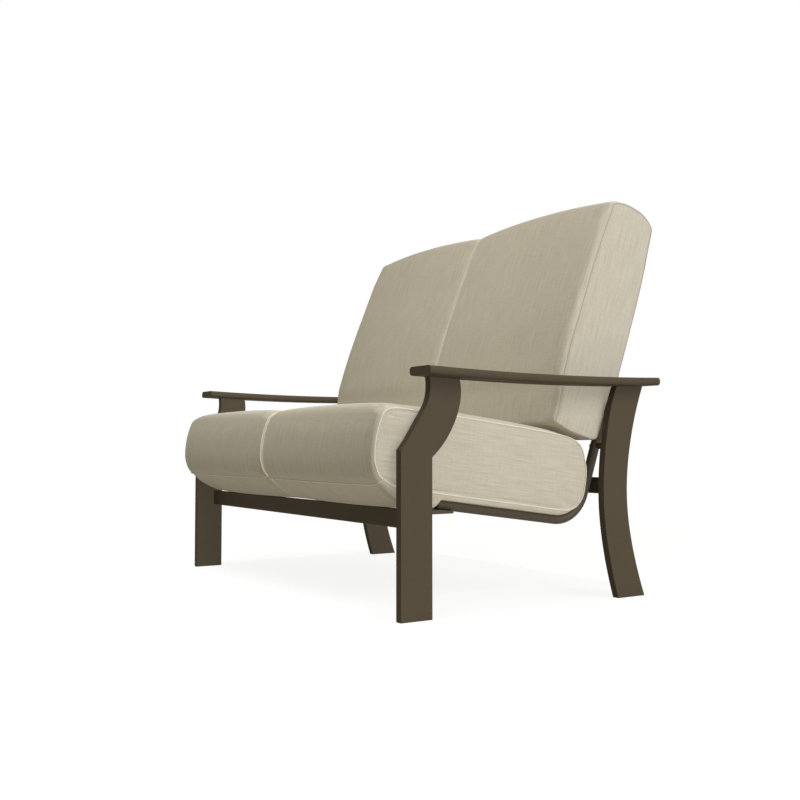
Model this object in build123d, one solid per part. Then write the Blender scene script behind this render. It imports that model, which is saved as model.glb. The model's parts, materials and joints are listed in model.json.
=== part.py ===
from build123d import *
import math
import os

os.makedirs("parts", exist_ok=True)

# A patio loveseat: board legs and arms around a bent tube frame, with loose cushions.
# Millimetres, Z up. The front is at -Y and the sitter's right-hand side at -X.
# Depths are counted from the front legs' front edge until the last move centres the box.

# Clearances and overruns
CLEAR = 0.3
BOLT_PLAY = 0.2
CUT_OVERRUN = 4.0

# Overall frame
LEGS_OVER_ALL = 1225.0
BOARD = 19.3
BOARD_EASE = 2.5

# Arms: slabs that bow down between their ends
ARM_TOP_FRONT = 567.0
ARM_TOP_BACK = 565.5
ARM_BOW = 6.8
ARM_THICK = 20.3
ARM_WIDTH = 82.6
ARM_OVERLAP_IN = 8.8
ARM_FRONT = 41.7
ARM_LENGTH = 722.8
ARM_EDGE_ROUND = 8.5

# Front legs: upright to a knee, then swept back under the arm
FRONT_LEG_WIDTH = 84.3
FRONT_KNEE_HEIGHT = 379.8
BACK_KNEE_DROP = 16.7
FRONT_SWEEP = 79.0
BACK_SWEEP = 81.0
FRONT_SWEEP_SHARES = [(0.22, 0.126), (0.60, 0.389), (0.93, 0.648), (1.0, 0.82), (0.955, 1.0)]
BACK_SWEEP_SHARES = [(0.46, 0.203), (0.80, 0.447), (0.98, 0.69), (1.0, 0.81), (0.93, 1.0)]

# Rear legs: a waist at mid height, splayed back at the foot and at the arm
REAR_WAIST_FRONT = 615.1
REAR_WAIST_WIDTH = 81.4
REAR_SPLAY_FRONT = 47.3
REAR_SPLAY_BACK = 59.5
REAR_FRONT_SHARES = [(1.0, 0.0), (0.2, 0.27), (0.0, 0.41), (0.2, 0.73), (0.52, 0.867), (1.12, 1.0)]
REAR_BACK_SHARES = [(1.0, 0.0), (0.25, 0.26), (0.0, 0.45), (0.16, 0.68), (0.47, 0.823), (1.06, 1.0)]

# Rails of board between the legs
APRON_FRONT = 56.9
APRON_TOP = 242.4
APRON_HEIGHT = 43.8
STRETCHER_FRONT = 647.5
STRETCHER_TOP = 306.2
STRETCHER_HEIGHT = 41.4

# Bent rails: seat part, bend and upright in one tube
TUBE = 25.4
TUBE_WALL = 2.0
RAIL_FROM_LEG = 42.5
SEAT_SLOPE = 7.8
BACK_LEAN = 19.5
BEND_RADIUS = 94.0
RAIL_CORNER_DEPTH = 586.9
RAIL_CORNER_HEIGHT = 192.5
RAIL_FRONT_CUT = 146.0
RAIL_TOP_CUT = 508.0

# Cross tubes, back posts and slats
FRONT_TUBE_TO_LIP = 15.3
REAR_TUBE = 19.0
LUMBAR_DROP = 46.2
POST_BELOW_LUMBAR = 32.0
TOP_TUBE_DROP = 82.0
SLAT_THICK = 3.0
SLAT_WIDTH = 32.0
SLAT_REACH = 7.0
SEAT_SLATS = 6
SEAT_SLAT_FIRST = 196.0
SEAT_SLAT_LAST = 492.0
BACK_SLATS = 6
FIRST_SLAT_RISE = 32.0
TOP_SLAT_DROP = 48.0

# Rail bolts, spacers and plugs
BOLT = 8.0
BOLT_HEAD = 13.0
BOLT_HEAD_THICK = 2.6
BOLT_BITE = 14.0
SPACER = 16.0
UPPER_BOLT_DROP = 15.8
BOLT_SPACING = 103.7
PLUG_CAP = 1.6
PLUG_DEPTH = 9.5

# Shoes under the rails' front ends
SHOE_WIDTH = 46.0
SHOE_BASE = 230.5
SHOE_LENGTH = 108.8
SHOE_FLANGE = 4.0
SHOE_FLANGE_DROP = 26.0

# Corner angles and their screws
ANGLE_LEG = 30.0
ANGLE_THICK = 3.0
ANGLE_HEIGHT = 26.0
SCREW = 4.5
SCREW_HEAD = 9.0
SCREW_HEAD_THICK = 2.4
SCREW_BITE = 12.0

# Dowels between legs and arms and between legs and apron
DOWEL = 8.0
DOWEL_SHORT_END = 12.0
DOWEL_LONG_END = 28.0
DOWEL_SPACING = 44.0

# Cushions
CUSHION_TO_LEG = 15.9
STATION_SHARES = [0.0, 0.035, 0.16, 0.5, 0.84, 0.965, 1.0]
FULLNESS_SHARES = [0.0, 0.55, 0.86, 1.0, 0.86, 0.55, 0.0]

SEAT_FRONT_REACH = 46.4
SEAT_FRONT_CROWN = 13.0
SEAT_PAST_CORNER = 1.1
SEAT_THICK = 192.0
SEAT_TOP_CROWN = 21.0
SEAT_LIP_BACK = 112.0
SEAT_LIP_RUN = 26.0

BACK_THICK = 197.0
BACK_OVER_SEAT = 3.35
BACK_HEIGHT = 626.0
BACK_FRONT_CROWN = 18.0
BACK_TOP_CROWN = 21.0


# Places worked out from the sizes above

LEG_INSIDE = LEGS_OVER_ALL / 2 - BOARD
TUBE_RADIUS = TUBE / 2
RAIL_X = LEG_INSIDE - RAIL_FROM_LEG - TUBE_RADIUS
POST_X = RAIL_X - TUBE
SLOPE = math.radians(SEAT_SLOPE)
LEAN = math.radians(BACK_LEAN)
ARM_INSIDE = LEG_INSIDE - ARM_OVERLAP_IN
ARM_BACK = ARM_FRONT + ARM_LENGTH
CUSHION_WIDTH = LEG_INSIDE - CUSHION_TO_LEG - CLEAR / 2
SEAT_BASE = TUBE_RADIUS + SLAT_THICK + CLEAR
BACK_BASE = TUBE_RADIUS + SLAT_THICK + CLEAR
SEAT_LENGTH = SEAT_FRONT_REACH + RAIL_CORNER_DEPTH + SEAT_PAST_CORNER
BACK_BOTTOM = RAIL_CORNER_HEIGHT + SEAT_BASE / math.cos(SLOPE) + SEAT_THICK + BACK_OVER_SEAT
FRONT_TUBE_DEPTH = SEAT_LIP_BACK + SEAT_LIP_RUN + FRONT_TUBE_TO_LIP + TUBE_RADIUS
UPPER_BOLT_HEIGHT = RAIL_TOP_CUT - UPPER_BOLT_DROP
LOWER_BOLT_HEIGHT = UPPER_BOLT_HEIGHT - BOLT_SPACING
LUMBAR_HEIGHT = UPPER_BOLT_HEIGHT - LUMBAR_DROP
POST_FOOT_HEIGHT = LUMBAR_HEIGHT - POST_BELOW_LUMBAR
BACK_SLAT_FIRST = LUMBAR_HEIGHT + FIRST_SLAT_RISE
TOP_TUBE_HEIGHT = BACK_BOTTOM + BACK_HEIGHT - TOP_TUBE_DROP
BACK_SLAT_LAST = TOP_TUBE_HEIGHT - TOP_SLAT_DROP
LEG_TOP = min(ARM_TOP_FRONT, ARM_TOP_BACK) - ARM_BOW - ARM_THICK / 3
APRON_BACK = APRON_FRONT + BOARD
STRETCHER_BACK = STRETCHER_FRONT + BOARD
ANGLE_MIDDLE = STRETCHER_TOP - STRETCHER_HEIGHT / 2


def rail_height(depth):
    """Height of the seat rail's centre line at a depth."""
    return RAIL_CORNER_HEIGHT + (RAIL_CORNER_DEPTH - depth) * math.tan(SLOPE)


def upright_depth(height):
    """Depth of the upright's centre line at a height."""
    return RAIL_CORNER_DEPTH + (height - RAIL_CORNER_HEIGHT) * math.tan(LEAN)


def seat_plane(depth, above):
    """Height at a depth, so far above the seat rails' centre line, square to it."""
    return rail_height(depth) + above / math.cos(SLOPE)


def back_plane(height, ahead):
    """Depth at a height, so far ahead of the uprights' centre line, square to it."""
    return upright_depth(height) - ahead / math.cos(LEAN)




def along_x(profile, start, length):
    """A (depth, height) face pushed along X from a start."""
    return extrude(Plane.YZ.offset(start) * profile, length)


def rod_x(radius, start, length, depth, height):
    """A round bar along X."""
    return along_x(Pos(depth, height) * Circle(radius), start, length)


def ring_x(radius, wall, start, length, depth, height):
    """A round tube along X."""
    face = Circle(radius) - Circle(radius - wall)
    return along_x(Pos(depth, height) * face, start, length)


def mirrored(shape):
    """The same piece on the other side of the object."""
    return mirror(shape, about=Plane.YZ)


# Arms

def arm_outline():
    """The bowed side view of an arm, as a face."""
    middle = (ARM_FRONT + ARM_BACK) / 2
    top_middle = (ARM_TOP_FRONT + ARM_TOP_BACK) / 2 - ARM_BOW
    top = ThreePointArc((ARM_FRONT, ARM_TOP_FRONT), (middle, top_middle), (ARM_BACK, ARM_TOP_BACK))
    low = ThreePointArc((ARM_BACK, ARM_TOP_BACK - ARM_THICK), (middle, top_middle - ARM_THICK),
                        (ARM_FRONT, ARM_TOP_FRONT - ARM_THICK))
    ends = [Line(top @ 1, low @ 0), Line(low @ 1, top @ 0)]
    return make_face([top, low] + ends)


def arm_slab(start, width):
    return along_x(arm_outline(), start, width)


def arm():
    """A slab with round long edges and blind dowel holes in its underside."""
    slab = arm_slab(ARM_INSIDE, ARM_WIDTH)
    long_edges = [edge for edge in slab.edges() if abs(edge.tangent_at(0.5).Y) > 0.9]
    slab = fillet(long_edges, min(ARM_EDGE_ROUND, ARM_THICK * 0.45))
    for peg in arm_dowels():
        slab -= peg
    return slab


# Legs

def swept_point(share, start, sweep, foot, rise):
    return (start + sweep * share[0], foot + rise * share[1])


def front_leg_outline():
    """Straight foot, a knee on each edge, and two swept edges up to the arm."""
    back_knee = FRONT_KNEE_HEIGHT - BACK_KNEE_DROP
    front = [(0, FRONT_KNEE_HEIGHT)] + [
        swept_point(share, 0, FRONT_SWEEP, FRONT_KNEE_HEIGHT, LEG_TOP - FRONT_KNEE_HEIGHT)
        for share in FRONT_SWEEP_SHARES]
    back = [(FRONT_LEG_WIDTH, back_knee)] + [
        swept_point(share, FRONT_LEG_WIDTH, BACK_SWEEP, back_knee, LEG_TOP - back_knee)
        for share in BACK_SWEEP_SHARES]
    edges = [Line((0, 0), front[0]), Spline(*front), Line(front[-1], back[-1]),
             Spline(*reversed(back)), Line(back[0], (FRONT_LEG_WIDTH, 0)),
             Line((FRONT_LEG_WIDTH, 0), (0, 0))]
    return make_face(edges)


def rear_leg_outline():
    """Waisted board with both edges in one long curve."""
    waist_back = REAR_WAIST_FRONT + REAR_WAIST_WIDTH
    front = [swept_point(share, REAR_WAIST_FRONT, REAR_SPLAY_FRONT, 0, LEG_TOP)
             for share in REAR_FRONT_SHARES]
    back = [swept_point(share, waist_back, REAR_SPLAY_BACK, 0, LEG_TOP)
            for share in REAR_BACK_SHARES]
    edges = [Spline(*front), Line(front[-1], back[-1]), Spline(*reversed(back)),
             Line(back[0], front[0])]
    return make_face(edges)


def leg(outline):
    """A board leg, topped off along the arm's underside and drilled for its dowels."""
    board = along_x(outline, LEG_INSIDE, BOARD)
    board -= arm_slab(LEG_INSIDE - CUT_OVERRUN, BOARD + 2 * CUT_OVERRUN)
    for peg in arm_dowels():
        board -= peg
    return board


def rear_leg():
    board = leg(rear_leg_outline())
    for depth, height in bolt_places():
        board -= rod_x(BOLT / 2, LEG_INSIDE - CUT_OVERRUN, BOLT_BITE + CUT_OVERRUN, depth, height)
    return board - angle_screws()[1]


def front_leg():
    board = leg(front_leg_outline())
    for peg in apron_dowels():
        board -= peg
    return board


def arm_underside(depth):
    """Height of the arm's underside at a depth, on the arc through its ends and middle."""
    half = ARM_LENGTH / 2
    radius = (half * half + ARM_BOW * ARM_BOW) / (2 * ARM_BOW)
    run = depth - (ARM_FRONT + half)
    chord = ARM_TOP_FRONT + (ARM_TOP_BACK - ARM_TOP_FRONT) * (depth - ARM_FRONT) / ARM_LENGTH
    sag = math.sqrt(radius * radius - run * run) - (radius - ARM_BOW)
    return chord - sag - ARM_THICK


def dowel_depths():
    """Middle of each leg's top, less and plus half the spacing."""
    front_middle = (FRONT_SWEEP + FRONT_LEG_WIDTH + BACK_SWEEP) / 2
    rear_middle = REAR_WAIST_FRONT + (REAR_SPLAY_FRONT + REAR_WAIST_WIDTH + REAR_SPLAY_BACK) / 2
    return [middle + side * DOWEL_SPACING / 2
            for middle in (front_middle, rear_middle) for side in (-1, 1)]


def arm_dowels():
    """Four upright pins of one side, with their long ends in the legs and their short ends in the arm."""
    pins = []
    for depth in dowel_depths():
        foot = arm_underside(depth) - DOWEL_LONG_END
        length = DOWEL_LONG_END + DOWEL_SHORT_END
        pin = Cylinder(DOWEL / 2, length, align=(Align.CENTER, Align.CENTER, Align.MIN))
        pins.append(Pos(LEG_INSIDE + BOARD / 2, depth, foot) * pin)
    return pins


def apron_dowels():
    """Two level pins of one side, with their long ends in the apron and their short ends in the leg."""
    start = LEG_INSIDE - DOWEL_LONG_END
    return [rod_x(DOWEL / 2, start, DOWEL_LONG_END + DOWEL_SHORT_END, APRON_FRONT + BOARD / 2,
                  APRON_TOP - share * APRON_HEIGHT)
            for share in (1 / 4, 3 / 4)]


# Board rails

def board_rail(front, top, height):
    """A board between two legs, its lower edges eased."""
    middle = (front + BOARD / 2, top - height / 2)
    rail = along_x(Pos(*middle) * Rectangle(BOARD, height), -LEG_INSIDE, 2 * LEG_INSIDE)
    low = [edge for edge in rail.edges().filter_by(Axis.X)
           if edge.center().Z < top - height / 2]
    return fillet(low, BOARD_EASE)


def apron():
    rail = board_rail(APRON_FRONT, APRON_TOP, APRON_HEIGHT)
    for hole in apron_dowels() + shoe_screws():
        rail -= hole
        rail -= mirrored(hole)
    return rail


def stretcher():
    rail = board_rail(STRETCHER_FRONT, STRETCHER_TOP, STRETCHER_HEIGHT)
    hole = angle_screws()[0]
    return rail - hole - mirrored(hole)


# Corner angles behind the stretcher

def angle():
    """An angle in the corner between the stretcher's back face and a leg."""
    on_stretcher = Pos(LEG_INSIDE - ANGLE_LEG / 2, STRETCHER_BACK + ANGLE_THICK / 2, ANGLE_MIDDLE)
    on_leg = Pos(LEG_INSIDE - ANGLE_THICK / 2, STRETCHER_BACK + ANGLE_LEG / 2, ANGLE_MIDDLE)
    plate = on_stretcher * Box(ANGLE_LEG, ANGLE_THICK, ANGLE_HEIGHT)
    plate += on_leg * Box(ANGLE_THICK, ANGLE_LEG, ANGLE_HEIGHT)
    for hole in angle_screws():
        plate -= hole
    return plate


def screw(at, turn):
    """A pan head screw whose head sits on a face; turned so that it bites along the turned Z."""
    shank = Cylinder(SCREW / 2, ANGLE_THICK + SCREW_BITE, align=(Align.CENTER, Align.CENTER, Align.MIN))
    head = Cylinder(SCREW_HEAD / 2, SCREW_HEAD_THICK, align=(Align.CENTER, Align.CENTER, Align.MAX))
    head = fillet(head.edges().group_by(Axis.Z)[0], SCREW_HEAD_THICK / 2)
    return at * turn * (shank + head)


def angle_screws():
    """One screw into the stretcher and one into the leg."""
    reach = (ANGLE_LEG + ANGLE_THICK) / 2
    into_stretcher = screw(Pos(LEG_INSIDE - reach, STRETCHER_BACK + ANGLE_THICK, ANGLE_MIDDLE), Rot(90, 0, 0))
    into_leg = screw(Pos(LEG_INSIDE - ANGLE_THICK, STRETCHER_BACK + reach, ANGLE_MIDDLE), Rot(0, 90, 0))
    return into_stretcher, into_leg


# Bent rails

def rail_line(front, top):
    """Seat line, bend and upright line of a rail, from its front end to its top end."""
    to_front = Vector(0, -math.cos(SLOPE), math.sin(SLOPE))
    to_top = Vector(0, math.sin(LEAN), math.cos(LEAN))
    corner = Vector(0, RAIL_CORNER_DEPTH, RAIL_CORNER_HEIGHT)
    turn = math.pi - to_front.get_angle(to_top) * math.pi / 180
    setback = BEND_RADIUS * math.tan(turn / 2)
    bend_start = corner + to_front * setback
    bend_end = corner + to_top * setback
    front_end = corner + to_front * ((RAIL_CORNER_DEPTH - front) / math.cos(SLOPE))
    top_end = corner + to_top * ((top - RAIL_CORNER_HEIGHT) / math.cos(LEAN))
    bend = TangentArc(bend_start, bend_end, tangent=to_front * -1)
    return Wire([Line(front_end, bend_start), bend, Line(bend_end, top_end)])


def bent_bar(radius, front, top, across):
    """A solid bar that follows a rail's line, at a place across the object."""
    line = rail_line(front, top)
    start = Plane(origin=line @ 0, z_dir=line % 0)
    return Pos(across, 0, 0) * sweep(start * Circle(radius), line)


def bent_tube(front, top, across):
    return bent_bar(TUBE_RADIUS, front, top, across) - bent_bar(TUBE_RADIUS - TUBE_WALL, front, top, across)


def bolt_places():
    return [(upright_depth(height), height) for height in (LOWER_BOLT_HEIGHT, UPPER_BOLT_HEIGHT)]


def side_rail():
    """The bent tube beside the legs, open at both ends and drilled for its two bolts."""
    rail = bent_tube(RAIL_FRONT_CUT, RAIL_TOP_CUT, RAIL_X)
    for depth, height in bolt_places():
        rail -= rod_x(BOLT / 2 + BOLT_PLAY, RAIL_X - TUBE, 2 * TUBE, depth, height)
    return rail


def centre_rail():
    """The bent tube under and behind the middle, from the front tube to the top tube."""
    rail = bent_tube(FRONT_TUBE_DEPTH, TOP_TUBE_HEIGHT, 0)
    for across in front_tube_core(), top_tube_core():
        rail -= across
    return rail


# Straight cross tubes

def rail_cores():
    """Solid bars where the bent rails run, to cope the cross tubes."""
    side = bent_bar(TUBE_RADIUS, RAIL_FRONT_CUT, RAIL_TOP_CUT, RAIL_X)
    return [side, mirrored(side)]


def centre_core():
    return bent_bar(TUBE_RADIUS, FRONT_TUBE_DEPTH, TOP_TUBE_HEIGHT, 0)


def front_tube_core():
    return rod_x(TUBE_RADIUS, -RAIL_X, 2 * RAIL_X, FRONT_TUBE_DEPTH, rail_height(FRONT_TUBE_DEPTH))


def front_tube():
    """The tube between the side rails behind the apron."""
    tube = ring_x(TUBE_RADIUS, TUBE_WALL, -RAIL_X, 2 * RAIL_X, FRONT_TUBE_DEPTH,
                  rail_height(FRONT_TUBE_DEPTH))
    for core in rail_cores():
        tube -= core
    return tube


def bend_middle():
    """Depth and height of the rails' centre line halfway round the bend."""
    line = rail_line(RAIL_FRONT_CUT, RAIL_TOP_CUT)
    arc_middle = line.edges()[1] @ 0.5
    return arc_middle.Y, arc_middle.Z


def rear_tube():
    """The right half of the smaller tube between the rails' bends."""
    depth, height = bend_middle()
    tube = ring_x(REAR_TUBE / 2, TUBE_WALL, 0, RAIL_X, depth, height)
    return tube - rail_cores()[0] - centre_core()


def lumbar_tube():
    """The right half of the tube between the back posts' feet."""
    tube = ring_x(TUBE_RADIUS, TUBE_WALL, 0, POST_X, upright_depth(LUMBAR_HEIGHT), LUMBAR_HEIGHT)
    return tube - post_bar(TUBE_RADIUS) - centre_core()


def post_bar(radius):
    """A leaning bar beside the upright, from its foot to the top tube."""
    foot = Vector(POST_X, upright_depth(POST_FOOT_HEIGHT), POST_FOOT_HEIGHT)
    top = Vector(POST_X, upright_depth(TOP_TUBE_HEIGHT), TOP_TUBE_HEIGHT)
    plane = Plane(origin=foot, z_dir=top - foot)
    return extrude(plane * Circle(radius), (top - foot).length)


def back_post():
    """The post against the inside of the upright, bolted through it."""
    post = post_bar(TUBE_RADIUS) - post_bar(TUBE_RADIUS - TUBE_WALL) - top_tube_core()
    depth, height = bolt_places()[1]
    return post - rod_x(BOLT / 2 + BOLT_PLAY, POST_X - TUBE, 2 * TUBE, depth, height)


def top_tube_core():
    reach = POST_X + TUBE_RADIUS
    return rod_x(TUBE_RADIUS, -reach, 2 * reach, upright_depth(TOP_TUBE_HEIGHT), TOP_TUBE_HEIGHT)


def top_tube():
    reach = POST_X + TUBE_RADIUS
    return ring_x(TUBE_RADIUS, TUBE_WALL, -reach, 2 * reach, upright_depth(TOP_TUBE_HEIGHT),
                  TOP_TUBE_HEIGHT)


# Slats

def seat_slat(depth):
    """A flat bar on the three seat rails."""
    height = seat_plane(depth, TUBE_RADIUS + SLAT_THICK / 2)
    bar = Box(2 * (RAIL_X + SLAT_REACH), SLAT_WIDTH, SLAT_THICK)
    return Pos(0, depth, height) * Rot(-SEAT_SLOPE, 0, 0) * bar


def back_slat(height):
    """A flat bar on the front of the posts and the middle upright."""
    depth = back_plane(height, TUBE_RADIUS + SLAT_THICK / 2)
    bar = Box(2 * (POST_X + SLAT_REACH), SLAT_THICK, SLAT_WIDTH)
    return Pos(0, depth, height) * Rot(-BACK_LEAN, 0, 0) * bar


def spread(first, last, count):
    return [first + (last - first) * index / (count - 1) for index in range(count)]


# Shoes

def shoe_outline():
    """Side view: flat below, the rail's slope above, and a flange down the apron's back."""
    nose = APRON_BACK + SHOE_LENGTH
    touch = seat_plane(RAIL_FRONT_CUT, -TUBE_RADIUS)
    corners = [(APRON_BACK, touch), (RAIL_FRONT_CUT, touch), (nose, seat_plane(nose, -TUBE_RADIUS)),
               (nose, SHOE_BASE), (APRON_BACK + SHOE_FLANGE, SHOE_BASE),
               (APRON_BACK + SHOE_FLANGE, SHOE_BASE - SHOE_FLANGE_DROP),
               (APRON_BACK, SHOE_BASE - SHOE_FLANGE_DROP)]
    return make_face(Polyline(*corners, close=True))


def shoe():
    block = along_x(shoe_outline(), RAIL_X - SHOE_WIDTH / 2, SHOE_WIDTH)
    tail = [edge for edge in block.edges().filter_by(Axis.Z)
            if edge.center().Y > APRON_BACK + SHOE_LENGTH - SHOE_FLANGE]
    block = fillet(tail, SHOE_WIDTH / 5)
    for hole in shoe_screws():
        block -= hole
    return block


def shoe_screws():
    """Two screws through the shoe's flange into the apron."""
    height = SHOE_BASE - SHOE_FLANGE_DROP / 2
    return [screw(Pos(RAIL_X + side * SHOE_WIDTH / 4, APRON_BACK + SHOE_FLANGE, height), Rot(90, 0, 0))
            for side in (-1, 1)]


# Bolts, spacers and plugs

def spacers():
    """Short bars between the upright and the rear leg, coped to the tube."""
    pieces = []
    core = rail_cores()[0]
    for depth, height in bolt_places():
        bar = rod_x(SPACER / 2, RAIL_X, LEG_INSIDE - RAIL_X, depth, height)
        bar -= rod_x(BOLT / 2 + BOLT_PLAY, RAIL_X, LEG_INSIDE - RAIL_X, depth, height)
        pieces.append(bar - core)
    return pieces


def rail_bolts():
    """The lower bolt heads on the upright, the upper one on the post beside it."""
    pieces = []
    seats = (RAIL_X - TUBE_RADIUS, POST_X - TUBE_RADIUS)
    for (depth, height), seat in zip(bolt_places(), seats):
        end = LEG_INSIDE + BOLT_BITE
        bolt = rod_x(BOLT / 2, seat, end - seat, depth, height)
        head = rod_x(BOLT_HEAD / 2, seat - BOLT_HEAD_THICK, BOLT_HEAD_THICK, depth, height)
        head = fillet(head.edges().group_by(Axis.X)[0], BOLT_HEAD_THICK / 2)
        pieces.append(bolt + head)
    return pieces


def plug(plane):
    """A capped plug that fills a tube's end; the plane looks out of the tube."""
    cap = extrude(plane * Circle(TUBE_RADIUS), PLUG_CAP)
    stem = extrude(plane * Circle(TUBE_RADIUS - TUBE_WALL - BOLT_PLAY), -PLUG_DEPTH)
    return cap + stem


def side_plugs():
    """The plugs of one side: rail front, rail top, post foot and top tube end."""
    line = rail_line(RAIL_FRONT_CUT, RAIL_TOP_CUT)
    front = Plane(origin=line @ 0 + Vector(RAIL_X, 0, 0), z_dir=(line % 0) * -1)
    top = Plane(origin=line @ 1 + Vector(RAIL_X, 0, 0), z_dir=line % 1)
    lean = Vector(0, math.sin(LEAN), math.cos(LEAN))
    foot = Plane(origin=(POST_X, upright_depth(POST_FOOT_HEIGHT), POST_FOOT_HEIGHT), z_dir=lean * -1)
    end = Plane(origin=(POST_X + TUBE_RADIUS, upright_depth(TOP_TUBE_HEIGHT), TOP_TUBE_HEIGHT),
                z_dir=(1, 0, 0))
    return [plug(place) for place in (front, top, foot, end)]


# Cushions

def lofted_cushion(section):
    """A cushion lofted across its width through outlines of rising and falling fullness."""
    stations = []
    for station, fullness in zip(STATION_SHARES, FULLNESS_SHARES):
        across = CLEAR / 2 + station * CUSHION_WIDTH
        stations.append(Plane.YZ.offset(across) * section(fullness))
    return loft(stations)


def arc_chain(points):
    """A closed face of three point arcs: each corner is followed by its arc's middle."""
    corners = points[0::2]
    middles = points[1::2]
    edges = [ThreePointArc(corners[i], middles[i], corners[(i + 1) % len(corners)])
             for i in range(len(corners))]
    return make_face(edges)


def blend(seam, full, fullness):
    """Points between a seam outline and the fullest outline."""
    return [(a[0] + (b[0] - a[0]) * fullness, a[1] + (b[1] - a[1]) * fullness)
            for a, b in zip(seam, full)]


# Shares of the seat cushion's length behind its front reach, and of its thickness over the slats
SEAT_SEAM_SHARES = [
    (0.956, 0.967), (0.522, 1.016), (0.097, 0.974), (0.038, 0.88), (0.012, 0.665), (0.0, 0.43),
    (0.013, 0.186), (0.03, 0.105), (0.06, 0.067), (0.112, 0.049), (0.175, 0.042), (0.21, 0.041),
    (0.249, 0.041), (0.27, 0.042), (0.29, 0.043), (0.576, 0.044), (0.862, 0.045), (0.946, 0.165),
    (0.987, 0.42), (1.0, 0.60), (0.993, 0.745), (0.983, 0.88)]


def seat_seam_points():
    points = []
    for length_share, thick_share in SEAT_SEAM_SHARES:
        depth = length_share * SEAT_LENGTH - SEAT_FRONT_REACH
        points.append((depth, seat_plane(depth, SEAT_BASE) + thick_share * SEAT_THICK))
    return points


def seat_full_points():
    """The fullest outline: crowned top and front, and a lip that hangs behind the apron."""
    seam = seat_seam_points()
    crown, swell = SEAT_TOP_CROWN, SEAT_FRONT_CROWN
    lift_shares = [0.45, 1.0, 0.95, 0.65, 0.2, 0.0]
    push_shares = [0.0, 0.0, 0.15, 0.7, 1.0, 1.0]
    top = [(depth - swell * push, height + crown * lift)
           for (depth, height), lift, push in zip(seam, lift_shares, push_shares)]
    lip_base = APRON_TOP + CLEAR
    lip_back = SEAT_LIP_BACK + SEAT_LIP_RUN
    front_low = [(seam[6][0] - swell, seam[6][1] - swell / 4),
                 (seam[7][0] - swell, seam[7][1] - swell),
                 (seam[8][0] - swell / 2, seam[8][1] - crown)]
    roll = [(seam[9][0], lip_base + SEAT_TOP_CROWN * 0.62), (APRON_FRONT + BOARD_EASE, lip_base)]
    lip = [((APRON_FRONT + BOARD_EASE + SEAT_LIP_BACK) / 2, lip_base + CLEAR / 2), (SEAT_LIP_BACK, lip_base),
           (lip_back - SEAT_LIP_RUN / 5, (lip_base + seat_plane(lip_back, SEAT_BASE)) / 2),
           (lip_back, seat_plane(lip_back, SEAT_BASE))]
    low_back = seam[16][0]
    base = [((lip_back + low_back) / 2, seat_plane((lip_back + low_back) / 2, SEAT_BASE)),
            (low_back, seat_plane(low_back, SEAT_BASE))]
    rear = [(y + swell / 4, z) for y, z in seam[17:]]
    return top + front_low + roll + lip + base + rear


def seat_section(fullness):
    return seat_section_face(blend(seat_seam_points(), seat_full_points(), fullness))


def seat_section_face(points):
    """Arcs all round, but a straight base under the lip and on the slats."""
    straight = (5, 7)
    edges = []
    corners, middles = points[0::2], points[1::2]
    for i, corner in enumerate(corners):
        after = corners[(i + 1) % len(corners)]
        edges.append(Line(corner, after) if i in straight else ThreePointArc(corner, middles[i], after))
    return make_face(edges)


# Shares of the back cushion's thickness ahead of the slats, and of its height over its bottom
BACK_SEAM_SHARES = [
    (0.896, 0.075), (0.955, 0.17), (0.99, 0.278), (1.0, 0.465), (0.967, 0.659), (0.924, 0.816),
    (0.892, 0.955), (0.885, 0.992), (0.79, 1.0), (0.42, 0.985), (0.14, 0.944), (0.04, 0.915),
    (0.01, 0.875), (0.0025, 0.47), (0.0, 0.065), (0.032, 0.03), (0.12, 0.0), (0.42, 0.016),
    (0.74, 0.05), (0.83, 0.058)]
BACK_LIFT_SHARES = [0, 0, 0, 0, 0, 0, 0.75, 1.0, 1.0, 1.0, 0.75, 0.4, 0, 0, 0, 0, 0, 0, 0, 0]
BACK_PUSH_SHARES = [0.3, 0.5, 0.6, 0.8, 1.0, 1.0, 0.6, 0.3, 0.1, 0, 0, 0, 0, 0, 0, 0, 0, 0, 0, 0.2]


def back_points(fullness):
    points = []
    for share, lift, push in zip(BACK_SEAM_SHARES, BACK_LIFT_SHARES, BACK_PUSH_SHARES):
        height = BACK_BOTTOM + share[1] * BACK_HEIGHT + lift * fullness * BACK_TOP_CROWN
        ahead = share[0] * BACK_THICK + push * fullness * BACK_FRONT_CROWN
        points.append((back_plane(height, BACK_BASE) - ahead, height))
    return points


def back_section(fullness):
    points = back_points(fullness)
    edges = []
    corners, middles = points[0::2], points[1::2]
    for i, corner in enumerate(corners):
        after = corners[(i + 1) % len(corners)]
        edges.append(Line(corner, after) if i == 6 else ThreePointArc(corner, middles[i], after))
    return make_face(edges)


# The assembly, one file for each node

def both_sides(name, shape):
    """The piece at +X, the sitter's left, and its mirror image at -X."""
    return {name + "_left": shape, name + "_right": mirrored(shape)}


def group(pieces):
    """Identical pieces of both sides as one group of solids."""
    return Compound(children=[piece for one in pieces for piece in (one, mirrored(one))])


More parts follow.
